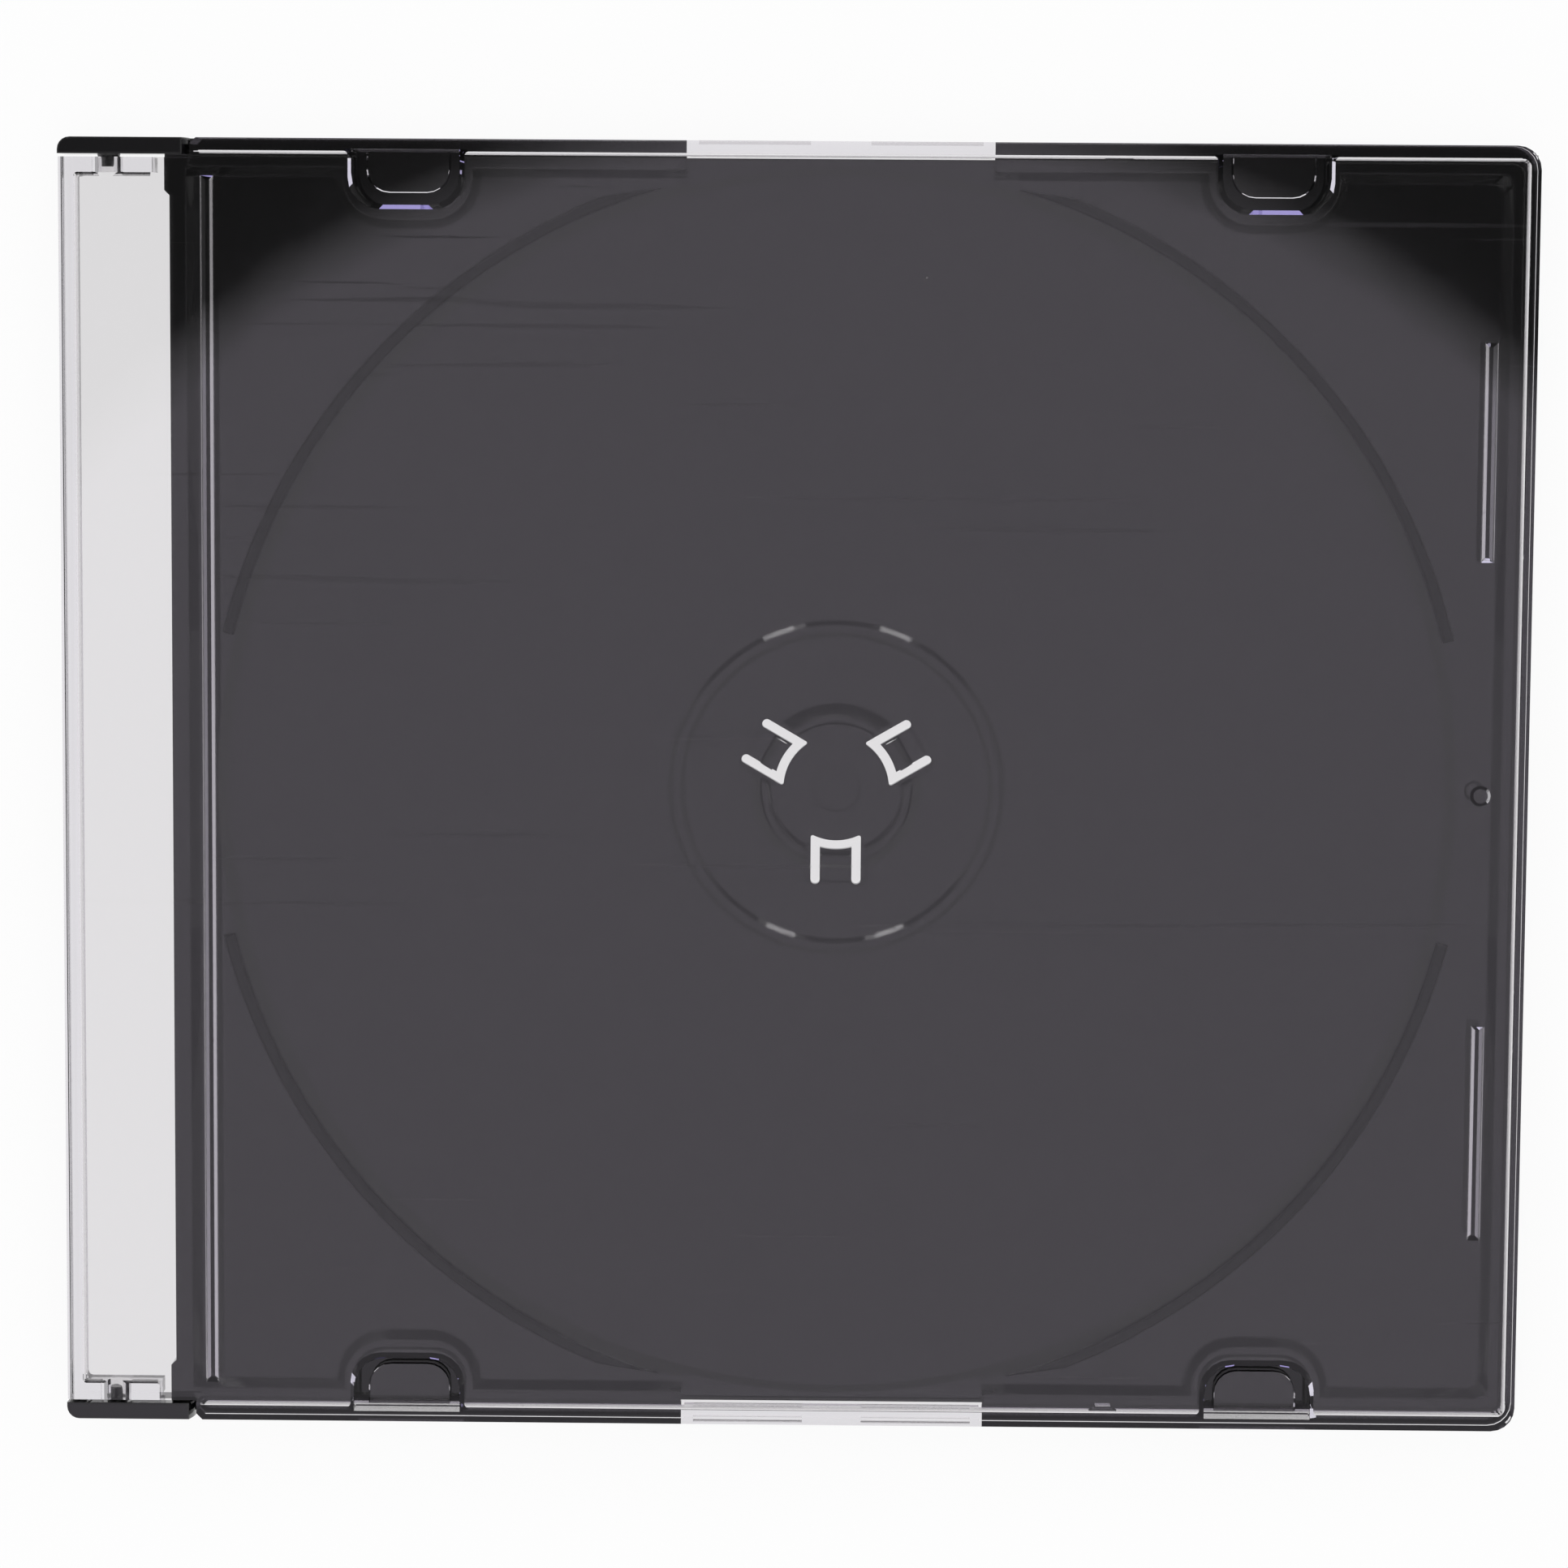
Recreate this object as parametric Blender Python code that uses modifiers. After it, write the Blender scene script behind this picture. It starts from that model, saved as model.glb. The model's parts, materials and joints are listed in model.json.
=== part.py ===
"""Slim disc case: a clear hinged lid over a black tray that holds one disc on its hub.

The closed case lies on its back. X runs from the spine to the opening side, Y along the spine and Z up.
The origin is the centre of the back. Two mouldings make the case: the lid turns on two pins of the tray.
"""

import math

import bpy
import bmesh
from mathutils import Matrix, Vector

# The disc that the tray holds
DISC_RADIUS = 0.060
DISC_HOLE_RADIUS = 0.0075
DISC_THICKNESS = 0.0012

# Closed case, round the disc
DISC_TO_SPINE = 0.0151          # from the disc's edge to the case's
DISC_TO_OPENING = 0.0069
DISC_TO_SIDE = 0.0025
CASE_HEIGHT = 0.0052
CORNER_RADIUS = 0.0023
GAP = 0.0003                    # clearance between the two mouldings

# Hinge
PIVOT_FROM_SPINE = 0.0046
HINGE_CLEARANCE = 0.0008        # between the turning spine and the tray's edge
ARM_WIDTH = 0.0016
ARM_REACH = 0.0078              # radius of an arm's rounded end about the pivot
ARM_CORNER = 0.0012
PIN_ROOT_RADIUS = 0.00125
PIN_TIP_RADIUS = 0.0008
PIN_LENGTH = 0.0012
SOCKET_WALL = 0.0014            # end wall of the lid's spine, round the socket

# Lid
LID_PLATE = 0.0012
SPINE_WALL = 0.0014
SPINE_ROUND = 0.0005
SIDE_WALL = 0.00115
OPENING_WALL = 0.00075
WALL_START_CHAMFER = 0.0006
WALL_FILLET = 0.0005            # hollow round between the plate and each wall
LIP_DROP = 0.0010               # how far the side wall reaches down inside a finger notch
LIP_GROOVE_HEIGHT = 0.0009
LIP_GROOVE_DEPTH = 0.0003
LIP_MIDDLE = 0.0058             # plain stretch between the two grooves of a lip

# Booklet tabs on the side walls, each under a window through the plate
TAB_FROM_DISC = 0.0417
TAB_WIDTH = 0.0080
TAB_REACH = 0.0051              # from the case's edge
TAB_THICKNESS = 0.0008
TAB_RISE = 0.0001               # above the side wall's foot
TAB_CORNER = 0.0022
TAB_CHAMFER = 0.00025
WINDOW_MARGIN = 0.0012
WINDOW_CORNER = 0.0030
WINDOW_CHAMFER = 0.0004         # round a window, on the plate's underside
WINDOW_WALL_CUT = 0.00015       # the window thins the top of the side wall by this much

# Booklet ribs under the plate
RIB_DROP = 0.0010
RIB_WIDTH = 0.0012
RIB_CHAMFER = 0.0004            # along both lower edges of a rib and round its ends
LONG_RIB_FROM_SPINE = 0.0142
LONG_RIB_END_GAP = 0.0036       # from the rib's end to the case's edge
SHORT_RIB_FROM_OPENING = 0.00425
SHORT_RIB_INNER_END = 0.0226
SHORT_RIB_OUTER_END = 0.0437
GATE_RADIUS = 0.0010
GATE_DEPTH = 0.00035
GATE_TAPER = 0.0003
GATE_FROM_OPENING = 0.0045

# Snap detents
DETENT_FROM_OPENING = 0.0402
DETENT_LENGTH = 0.0027
DETENT_RISE = 0.0006            # out of the side wall
DETENT_HEIGHT = 0.0014

# Tray
FLOOR = 0.0011
DECK_RISE = 0.0005              # of the deck round the disc well, above the well's floor
RIM_RISE = 0.0016               # of the rim rib, above the floor
RIM_WIDTH = 0.0011
RIM_SLOPE = 0.0008              # how far the rim rib's inner side slopes in on its way to the deck
RIM_GAP = 0.0005                # between the rim rib and the lid's walls
SPINE_LIP_WIDTH = 0.0017
SPINE_LIP_RISE = 0.0001         # the lip beside the spine stands this much above the rim rib
EDGE_STEP = 0.0005              # the tray's edge steps out this much beside each arm
EDGE_STEP_LENGTH = 0.0034
WELL_CLEARANCE = 0.0004
WELL_SLOPE = 0.0011
GUIDE_SETBACK = 0.0001          # of a guide's face behind the well's edge
GUIDE_WIDTH = 0.0011
GUIDE_RISE = 0.0014             # above the floor
GUIDE_CHAMFER = 0.0002
GUIDE_START = math.radians(14)
GUIDE_OUTER_END = math.radians(68)
GUIDE_INNER_END = math.radians(73.6)
NOTCH_LENGTH = 0.0297
NOTCH_DEPTH = 0.0016
NOTCH_LEDGE = 0.0046            # depth of the lowered deck beside a notch, from the case's edge
LEDGE_DROP = 0.0002

# Hub
SEAT_INNER_RADIUS = 0.0148
SEAT_WIDTH = 0.0016
SEAT_SLOPE = 0.00043            # of both sides of the seat ring
SEAT_RISE = 0.0003
COLLAR_CLEARANCE = 0.0001       # inside the disc's hole
COLLAR_WALL = 0.0010
COLLAR_FOOT = 0.0009
COLLAR_OVER_DISC = 0.0005
FINGER_WIDTH = 0.0031
FINGER_GAP = 0.0058             # break of the collar at each finger
FINGER_NOSE = 0.0003            # how far a catch reaches over the disc
CATCH_SETBACK = 0.0001          # of a catch's sides from the finger's sides
SLOT_WIDTH = 0.0009
SLOT_BAR_RADIUS = 0.0056
SLOT_ARM_END = 0.00946
SLOT_END_RADIUS = 0.00043
SLOT_CORNER = 0.0002
HUB_GATE_RADIUS = 0.0023
HUB_GATE_DEPTH = 0.00015
FINGER_ANGLES = [math.radians(degrees) for degrees in (30, 150, 270)]

# Values that follow from the driving ones
CASE_LENGTH = DISC_TO_SPINE + 2 * DISC_RADIUS + DISC_TO_OPENING
CASE_WIDTH = 2 * (DISC_RADIUS + DISC_TO_SIDE)
SPINE_X = -CASE_LENGTH / 2
OPENING_X = CASE_LENGTH / 2
SIDE_Y = CASE_WIDTH / 2
PIVOT_X = SPINE_X + PIVOT_FROM_SPINE
PIVOT_Z = CASE_HEIGHT / 2
DISC_X = OPENING_X - DISC_TO_OPENING - DISC_RADIUS
PLATE_UNDERSIDE = CASE_HEIGHT - LID_PLATE
WALL_BASE = FLOOR + GAP
ARM_INNER_Y = SIDE_Y - ARM_WIDTH
SPINE_SWEEP = math.hypot(PIVOT_FROM_SPINE - SPINE_ROUND, PIVOT_Z - SPINE_ROUND) + SPINE_ROUND
SOCKET_END_X = PIVOT_X + math.sqrt(SPINE_SWEEP ** 2 - PIVOT_Z ** 2)
WALL_START_X = PIVOT_X + ARM_REACH + GAP
TRAY_EDGE_X = PIVOT_X + SPINE_SWEEP + HINGE_CLEARANCE
NOTCH_START_X = DISC_X - NOTCH_LENGTH / 2
NOTCH_END_X = DISC_X + NOTCH_LENGTH / 2
TAB_XS = (DISC_X - TAB_FROM_DISC, DISC_X + TAB_FROM_DISC)
WELL_RADIUS = DISC_RADIUS + WELL_CLEARANCE

# Fineness of the round shapes
CORNER_STEPS = 5
CIRCLE_STEPS = 96
SMALL_CIRCLE_STEPS = 24
ARC_STEP = math.radians(3)
FILLET_STEP = math.radians(18)
OVERLAP = 0.0005                # how deep an added shape is sunk into what carries it
BEYOND = 0.005                  # how far a cutter passes outside what it cuts


def collection(name):
    """A new collection in the scene."""
    made = bpy.data.collections.new(name)
    bpy.context.scene.collection.children.link(made)
    return made


def material(name, colour, roughness, transmission=0.0, ior=1.5):
    """A Principled material."""
    made = bpy.data.materials.new(name)
    made.use_nodes = True
    shader = made.node_tree.nodes["Principled BSDF"]
    shader.inputs["Base Color"].default_value = (*colour, 1.0)
    shader.inputs["Metallic"].default_value = 0.0
    shader.inputs["Roughness"].default_value = roughness
    shader.inputs["Transmission Weight"].default_value = transmission
    shader.inputs["IOR"].default_value = ior
    made.diffuse_color = (*colour, 1.0 - 0.7 * transmission)
    return made


def arc(centre, radius, start, end, step_angle=ARC_STEP):
    """Points along an arc, both ends included."""
    steps = max(2, math.ceil(abs(end - start) / step_angle))
    angles = [start + (end - start) * step / steps for step in range(steps + 1)]
    return [(centre[0] + radius * math.cos(a), centre[1] + radius * math.sin(a)) for a in angles]


def rounded(corners):
    """Points of a closed outline. Each corner is (x, y) when sharp or (x, y, radius) when rounded."""
    points = []
    for index, (x, y, *radius) in enumerate(corners):
        corner = Vector((x, y))
        if not radius:
            points.append((x, y))
            continue
        before = (Vector(corners[index - 1][:2]) - corner).normalized()
        after = (Vector(corners[(index + 1) % len(corners)][:2]) - corner).normalized()
        half = before.angle(after) / 2
        turn = -1 if before.cross(after) > 0 else 1
        centre = corner + (before + after).normalized() * radius[0] / math.sin(half)
        spoke = corner + before * radius[0] / math.tan(half) - centre
        for step in range(CORNER_STEPS + 1):
            angle = turn * (math.pi - 2 * half) * step / CORNER_STEPS
            points.append(tuple(centre + Matrix.Rotation(angle, 2) @ spoke))
    return points


def box_outline(x0, x1, y0, y1, radius=None):
    """A rectangle's outline, with rounded corners if a radius is given."""
    corners = [(x0, y0), (x1, y0), (x1, y1), (x0, y1)]
    return rounded([(*corner, radius) if radius else corner for corner in corners])


def mirrored_y(outline):
    """The same outline on the other side of the X axis."""
    return [(x, -y) for x, y in reversed(outline)]


def extruded(name, outlines, low, high, along="Z"):
    """A solid pulled along an axis from flat outlines, in XY along Z or in XZ along Y."""
    curve = bpy.data.curves.new(name, "CURVE")
    curve.dimensions = "2D"
    curve.fill_mode = "BOTH"
    curve.extrude = (high - low) / 2
    for outline in outlines:
        spline = curve.splines.new("POLY")
        spline.points.add(len(outline) - 1)
        spline.use_cyclic_u = True
        for point, (x, y) in zip(spline.points, outline):
            point.co = (x, y, 0.0, 1.0)
    guide = bpy.data.objects.new(name + "_outline", curve)
    bpy.context.scene.collection.objects.link(guide)
    bpy.context.view_layer.update()
    depsgraph = bpy.context.evaluated_depsgraph_get()
    mesh = bpy.data.meshes.new_from_object(guide.evaluated_get(depsgraph))
    bpy.data.objects.remove(guide)
    bpy.data.curves.remove(curve)
    middle = (high + low) / 2
    if along == "Y":
        upright = Matrix(((1, 0, 0, 0), (0, 0, -1, middle), (0, 1, 0, 0), (0, 0, 0, 1)))
        mesh.transform(upright)
    else:
        mesh.transform(Matrix.Translation((0, 0, middle)))
    return welded(name, mesh)


def welded(name, mesh):
    """An object for a mesh whose double points are merged and whose faces point out."""
    work = bmesh.new()
    work.from_mesh(mesh)
    bmesh.ops.remove_doubles(work, verts=work.verts, dist=0.000001)
    bmesh.ops.recalc_face_normals(work, faces=work.faces)
    work.to_mesh(mesh)
    work.free()
    mesh.name = name
    made = bpy.data.objects.new(name, mesh)
    bpy.context.scene.collection.objects.link(made)
    return made


def chamfered(solid, height, size):
    """Chamfers the outer edges of a solid's flat face at a height."""
    work = bmesh.new()
    work.from_mesh(solid.data)
    rim = [edge for edge in work.edges
           if all(abs(vertex.co.z - height) < 0.000001 for vertex in edge.verts)
           and edge.calc_face_angle(0.0) > math.radians(45)]
    bmesh.ops.bevel(
        work, geom=rim, offset=size, segments=1, profile=0.5, affect="EDGES", clamp_overlap=True)
    work.to_mesh(solid.data)
    work.free()
    return solid


def drafted(name, lower, upper, low, high):
    """A solid between two outlines with the same number of points."""
    count = len(lower)
    points = [(*point, low) for point in lower] + [(*point, high) for point in upper]
    faces = [list(range(count)), list(range(count, 2 * count))]
    for index in range(count):
        after = (index + 1) % count
        faces.append([index, after, count + after, count + index])
    mesh = bpy.data.meshes.new(name)
    mesh.from_pydata(points, [], faces)
    return welded(name, mesh)


def turned(name, profile, x):
    """A turned ring about an upright axis at x. The closed profile runs down its outer side."""
    mesh = bpy.data.meshes.new(name)
    count = len(profile)
    edges = [(index, (index + 1) % count) for index in range(count)]
    mesh.from_pydata([(radius, 0.0, z) for radius, z in profile], edges, [])
    made = bpy.data.objects.new(name, mesh)
    made.location.x = x
    bpy.context.scene.collection.objects.link(made)
    screw = made.modifiers.new("turn", "SCREW")
    screw.steps = CIRCLE_STEPS
    screw.render_steps = CIRCLE_STEPS
    screw.use_merge_vertices = True
    screw.merge_threshold = 0.00001
    return made


def cone_along_y(name, x, z, y_root, y_tip, root_radius, tip_radius):
    """A round peg or hole across the case, from y_root to y_tip."""
    length = abs(y_tip - y_root)
    bpy.ops.mesh.primitive_cone_add(
        vertices=SMALL_CIRCLE_STEPS, radius1=root_radius, radius2=tip_radius, depth=length)
    made = bpy.context.object
    made.name = name
    made.rotation_euler.x = math.radians(-90 if y_tip > y_root else 90)
    made.location = (x, (y_root + y_tip) / 2, z)
    return made


def combine(solid, tool, operation):
    """Cuts, joins or intersects a solid with a tool shape, which becomes a hidden guide."""
    boolean = solid.modifiers.new(tool.name, "BOOLEAN")
    boolean.operation = operation
    boolean.solver = "EXACT"
    boolean.object = tool
    for holder in list(tool.users_collection):
        holder.objects.unlink(tool)
    GUIDES.objects.link(tool)
    tool.hide_render = True
    tool.display_type = "WIRE"


def cut(solid, tool):
    """Takes a shape away from a solid."""
    combine(solid, tool, "DIFFERENCE")


def join(solid, tool):
    """Adds a shape to a solid."""
    combine(solid, tool, "UNION")


def finish(solid, surface):
    """Gives a solid its material, its collection and smooth shading between sharp edges."""
    bpy.context.view_layer.update()
    depsgraph = bpy.context.evaluated_depsgraph_get()
    mesh = bpy.data.meshes.new_from_object(solid.evaluated_get(depsgraph))
    solid.modifiers.clear()
    solid.data = mesh
    mesh.name = solid.name
    mesh.materials.clear()
    mesh.materials.append(surface)
    mesh.shade_smooth()
    mesh.set_sharp_from_angle(angle=math.radians(30))
    for holder in list(solid.users_collection):
        holder.objects.unlink(solid)
    PARTS.objects.link(solid)


# Lid

def lid_body():
    """The lid's plate, walls and hollow spine, open towards the tray."""
    end_y = ARM_INNER_Y - GAP
    beyond_spine = SPINE_X - BEYOND
    half_plan = [
        (WALL_START_X, -end_y),
        (WALL_START_X, -SIDE_Y + WALL_START_CHAMFER),
        (WALL_START_X + WALL_START_CHAMFER, -SIDE_Y),
        (OPENING_X, -SIDE_Y, CORNER_RADIUS),
    ]
    other_half = [(x, -y, *radius) for x, y, *radius in reversed(half_plan)]
    plan = rounded([(beyond_spine, -end_y), *half_plan, *other_half, (beyond_spine, end_y)])
    body = extruded("lid", [plan], -BEYOND, CASE_HEIGHT + BEYOND)

    beyond_opening = OPENING_X + BEYOND
    lip_start = NOTCH_START_X + GAP
    lip_end = NOTCH_END_X - GAP
    lip_base = WALL_BASE - LIP_DROP
    behind_socket = (SOCKET_END_X + WALL_START_X) / 2
    side = rounded([
        (SPINE_X, 0, SPINE_ROUND),
        (behind_socket, 0),
        (behind_socket, WALL_BASE),
        (lip_start, WALL_BASE),
        (lip_start, lip_base),
        (lip_end, lip_base),
        (lip_end, WALL_BASE),
        (beyond_opening, WALL_BASE),
        (beyond_opening, CASE_HEIGHT),
        (SPINE_X, CASE_HEIGHT, SPINE_ROUND),
    ])
    reach = SIDE_Y + BEYOND
    combine(body, extruded("lid_side_view", [side], -reach, reach, along="Y"), "INTERSECT")

    inner_x = OPENING_X - OPENING_WALL
    inner_y = SIDE_Y - SIDE_WALL
    inner_corner = CORNER_RADIUS - SIDE_WALL
    clear_y = (end_y + inner_y) / 2
    clear_x = WALL_START_X + GAP
    half_hollow = [
        (SPINE_X + SPINE_WALL, -end_y + SOCKET_WALL, SPINE_ROUND),
        (SOCKET_END_X, -end_y + SOCKET_WALL),
        (SOCKET_END_X, -clear_y),
        (clear_x, -clear_y),
        (clear_x, -inner_y),
        (inner_x, -inner_y, inner_corner),
    ]
    other_half = [(x, -y, *radius) for x, y, *radius in reversed(half_hollow)]
    hollow = rounded([*half_hollow, *other_half])
    cut(body, extruded("lid_hollow", [hollow], -2 * BEYOND, PLATE_UNDERSIDE))
    return body


def fillet(name, start, end, away):
    """A strip with a hollow round that fills the corner under the plate, along a wall from start to end.

    Away is the flat direction that points from the wall into the hollow.
    """
    start, end, away = Vector(start), Vector(end), Vector(away)
    round_centre = (WALL_FILLET, -WALL_FILLET)
    profile = [
        (-OVERLAP, OVERLAP),
        (WALL_FILLET, OVERLAP),
        *arc(round_centre, WALL_FILLET, math.pi / 2, math.pi, FILLET_STEP),
        (-OVERLAP, -WALL_FILLET),
    ]
    strip = extruded(name, [profile], 0, (end - start).length, along="Y")
    along = (end - start).normalized()
    strip.data.transform(Matrix((
        (away.x, along.x, 0, start.x),
        (away.y, along.y, 0, start.y),
        (0, 0, 1, PLATE_UNDERSIDE),
        (0, 0, 0, 1))))
    return strip


def add_fillets(body):
    """Hollow rounds between the plate and the inside of every wall."""
    spine_x = SPINE_X + SPINE_WALL
    opening_x = OPENING_X - OPENING_WALL
    side_y = SIDE_Y - SIDE_WALL
    socket_y = ARM_INNER_Y - GAP - SOCKET_WALL
    ahead = OVERLAP / 2
    join(body, fillet("fillet_spine", (spine_x, -socket_y - ahead), (spine_x, socket_y + ahead), (1, 0)))
    join(body, fillet("fillet_opening", (opening_x, -side_y - ahead), (opening_x, side_y + ahead), (-1, 0)))
    for name, side in (("front", -1), ("back", 1)):
        join(body, fillet(
            f"fillet_socket_{name}", (spine_x - ahead, side * socket_y),
            (SOCKET_END_X - GAP / 2, side * socket_y), (0, -side)))
        join(body, fillet(
            f"fillet_side_{name}", (WALL_START_X + GAP / 2, side * side_y),
            (opening_x + ahead, side * side_y), (0, -side)))


def add_sockets(body):
    """Round sockets in the spine's end walls, for the tray's pins."""
    for side in (-1, 1):
        cut(body, cone_along_y(
            f"socket_{'front' if side < 0 else 'back'}", PIVOT_X, PIVOT_Z,
            side * (SIDE_Y + BEYOND), side * (ARM_INNER_Y - GAP - SOCKET_WALL - OVERLAP),
            PIN_ROOT_RADIUS + GAP, PIN_ROOT_RADIUS + GAP))


def add_tabs_and_windows(body):
    """Four booklet tabs on the side walls, and the window through the plate over each."""
    window_y = SIDE_Y - SIDE_WALL + WINDOW_WALL_CUT
    tab_y = SIDE_Y - SIDE_WALL + OVERLAP
    for x in TAB_XS:
        tab_half = TAB_WIDTH / 2
        window, chamfer_foot = (rounded([
            (x - half, window_y),
            (x - half, reach, WINDOW_CORNER),
            (x + half, reach, WINDOW_CORNER),
            (x + half, window_y),
        ]) for half, reach in (
            (tab_half + WINDOW_MARGIN + grown, SIDE_Y - TAB_REACH - WINDOW_MARGIN - grown)
            for grown in (0, WINDOW_CHAMFER + GAP)))
        tab = rounded([
            (x - tab_half, tab_y),
            (x - tab_half, SIDE_Y - TAB_REACH, TAB_CORNER),
            (x + tab_half, SIDE_Y - TAB_REACH, TAB_CORNER),
            (x + tab_half, tab_y),
        ])
        end = "left" if x < DISC_X else "right"
        tab_base = WALL_BASE + TAB_RISE
        tab_top = tab_base + TAB_THICKNESS
        for side, window_outline, foot, tab_outline in (
                ("back", window, chamfer_foot, tab),
                ("front", mirrored_y(window), mirrored_y(chamfer_foot), mirrored_y(tab))):
            cut(body, extruded(
                f"window_{end}_{side}", [window_outline],
                PLATE_UNDERSIDE - 2 * OVERLAP, CASE_HEIGHT + BEYOND))
            cut(body, drafted(
                f"window_chamfer_{end}_{side}", foot, window_outline,
                PLATE_UNDERSIDE - GAP, PLATE_UNDERSIDE + WINDOW_CHAMFER))
            tab_solid = extruded(f"tab_{end}_{side}", [tab_outline], tab_base, tab_top)
            join(body, chamfered(tab_solid, tab_base, TAB_CHAMFER))


def add_booklet_ribs(body):
    """One long rib beside the spine and two short ones at the opening side, under the plate."""
    low = PLATE_UNDERSIDE - RIB_DROP
    high = PLATE_UNDERSIDE + OVERLAP
    half = RIB_WIDTH / 2
    long_x = SPINE_X + LONG_RIB_FROM_SPINE
    long_end = SIDE_Y - LONG_RIB_END_GAP
    long_rib = box_outline(long_x - half, long_x + half, -long_end, long_end)
    join(body, chamfered(extruded("long_rib", [long_rib], low, high), low, RIB_CHAMFER))

    short_x = OPENING_X - SHORT_RIB_FROM_OPENING
    short_rib = box_outline(
        short_x - half, short_x + half, SHORT_RIB_INNER_END, SHORT_RIB_OUTER_END)
    short_ribs = extruded("short_ribs", [short_rib, mirrored_y(short_rib)], low, high)
    join(body, chamfered(short_ribs, low, RIB_CHAMFER))


def detent_outline(side, clearance):
    """The outline of a snap bump on a side wall, or of the groove that takes it with a clearance."""
    x = OPENING_X - DETENT_FROM_OPENING
    sunk = OVERLAP / 2
    root_half = DETENT_LENGTH / 2 + clearance + sunk
    top_half = DETENT_LENGTH / 2 - DETENT_RISE
    root_y = SIDE_Y - SIDE_WALL + sunk
    top_y = SIDE_Y - SIDE_WALL - DETENT_RISE - clearance
    outline = [
        (x - root_half, root_y),
        (x - top_half, top_y),
        (x + top_half, top_y),
        (x + root_half, root_y),
    ]
    return outline if side > 0 else mirrored_y(outline)


def add_detent_bumps(body):
    """A small upright bump inside each side wall, which snaps into the tray's rim."""
    low = WALL_BASE + GAP
    for name, side in (("front", -1), ("back", 1)):
        join(body, extruded(
            f"detent_bump_{name}", [detent_outline(side, 0)], low, low + DETENT_HEIGHT))


def add_lip_grooves(body):
    """Two grip grooves along the outside of the wall in each finger notch."""
    groove_z = WALL_BASE - LIP_DROP / 2
    low = groove_z - LIP_GROOVE_HEIGHT / 2 + GAP
    high = low + LIP_GROOVE_HEIGHT
    margin = GAP + LIP_GROOVE_HEIGHT
    stretches = (
        (NOTCH_START_X + margin, DISC_X - LIP_MIDDLE / 2),
        (DISC_X + LIP_MIDDLE / 2, NOTCH_END_X - margin),
    )
    for name, side in (("front", -1), ("back", 1)):
        inner = side * (SIDE_Y - LIP_GROOVE_DEPTH)
        outer = side * (SIDE_Y + BEYOND)
        outlines = [box_outline(start, end, *sorted((inner, outer))) for start, end in stretches]
        cut(body, extruded(f"lip_grooves_{name}", outlines, low, high))


def add_gate(body):
    """The shallow round recess that the moulding's gate leaves under the plate."""
    bpy.ops.mesh.primitive_cone_add(
        vertices=SMALL_CIRCLE_STEPS, radius1=GATE_RADIUS + GATE_TAPER, radius2=GATE_RADIUS - GATE_TAPER,
        depth=2 * GATE_DEPTH, location=(OPENING_X - GATE_FROM_OPENING, 0, PLATE_UNDERSIDE))
    gate = bpy.context.object
    gate.name = "lid_gate"
    cut(body, gate)


def make_lid():
    """The clear lid."""
    body = lid_body()
    add_fillets(body)
    add_sockets(body)
    add_tabs_and_windows(body)
    add_booklet_ribs(body)
    add_detent_bumps(body)
    add_lip_grooves(body)
    add_gate(body)
    clear = material("clear_plastic", (0.86, 0.86, 0.90), 0.04, transmission=1.0, ior=1.59)
    finish(body, clear)
    return body


# Tray

def tray_body():
    """The tray's floor plate and its two hinge arms."""
    step_x = TRAY_EDGE_X - EDGE_STEP
    step_y = ARM_INNER_Y - EDGE_STEP_LENGTH
    half_plan = [
        (TRAY_EDGE_X, -step_y + EDGE_STEP),
        (step_x, -step_y),
        (step_x, -ARM_INNER_Y),
        (SPINE_X, -ARM_INNER_Y),
        (SPINE_X, -SIDE_Y, ARM_CORNER),
        (OPENING_X, -SIDE_Y, CORNER_RADIUS),
    ]
    other_half = [(x, -y, *radius) for x, y, *radius in reversed(half_plan)]
    body = extruded("tray", [rounded([*half_plan, *other_half])], -BEYOND, CASE_HEIGHT + BEYOND)

    low_angle = -math.asin((PIVOT_Z - FLOOR) / ARM_REACH)
    high_angle = math.asin((CASE_HEIGHT - PIVOT_Z) / ARM_REACH)
    arm_end = arc((PIVOT_X, PIVOT_Z), ARM_REACH, low_angle, high_angle)
    side = [
        (SPINE_X - BEYOND, 0),
        (OPENING_X + BEYOND, 0),
        (OPENING_X + BEYOND, FLOOR),
        *arm_end,
        (SPINE_X - BEYOND, CASE_HEIGHT),
    ]
    reach = SIDE_Y + BEYOND
    combine(body, extruded("tray_side_view", [side], -reach, reach, along="Y"), "INTERSECT")

    lip_top = FLOOR + RIM_RISE + SPINE_LIP_RISE
    between_arms = box_outline(SPINE_X - BEYOND, WALL_START_X + BEYOND, -ARM_INNER_Y, ARM_INNER_Y)
    cut(body, extruded("between_arms", [between_arms], lip_top, CASE_HEIGHT + 2 * BEYOND))
    return body


def rim_outline(inset):
    """The rim rib's outer face, or a line inside it, with its bays round the booklet tabs."""
    left = TRAY_EDGE_X + SPINE_LIP_WIDTH - RIM_WIDTH + inset
    right = OPENING_X - OPENING_WALL - RIM_GAP - inset
    edge_y = SIDE_Y - SIDE_WALL - RIM_GAP - inset
    bay_half = TAB_WIDTH / 2 + WINDOW_MARGIN + inset
    bay_y = SIDE_Y - TAB_REACH - WINDOW_MARGIN - inset - GAP
    bay_corner = WINDOW_CORNER + inset
    half = [(left, -edge_y)]
    for x in TAB_XS:
        half += [
            (x - bay_half, -edge_y),
            (x - bay_half, -bay_y, bay_corner),
            (x + bay_half, -bay_y, bay_corner),
            (x + bay_half, -edge_y),
        ]
    half.append((right, -edge_y, CORNER_RADIUS - SIDE_WALL))
    other_half = [(x, -y, *radius) for x, y, *radius in reversed(half)]
    return rounded([*half, *other_half])


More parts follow.
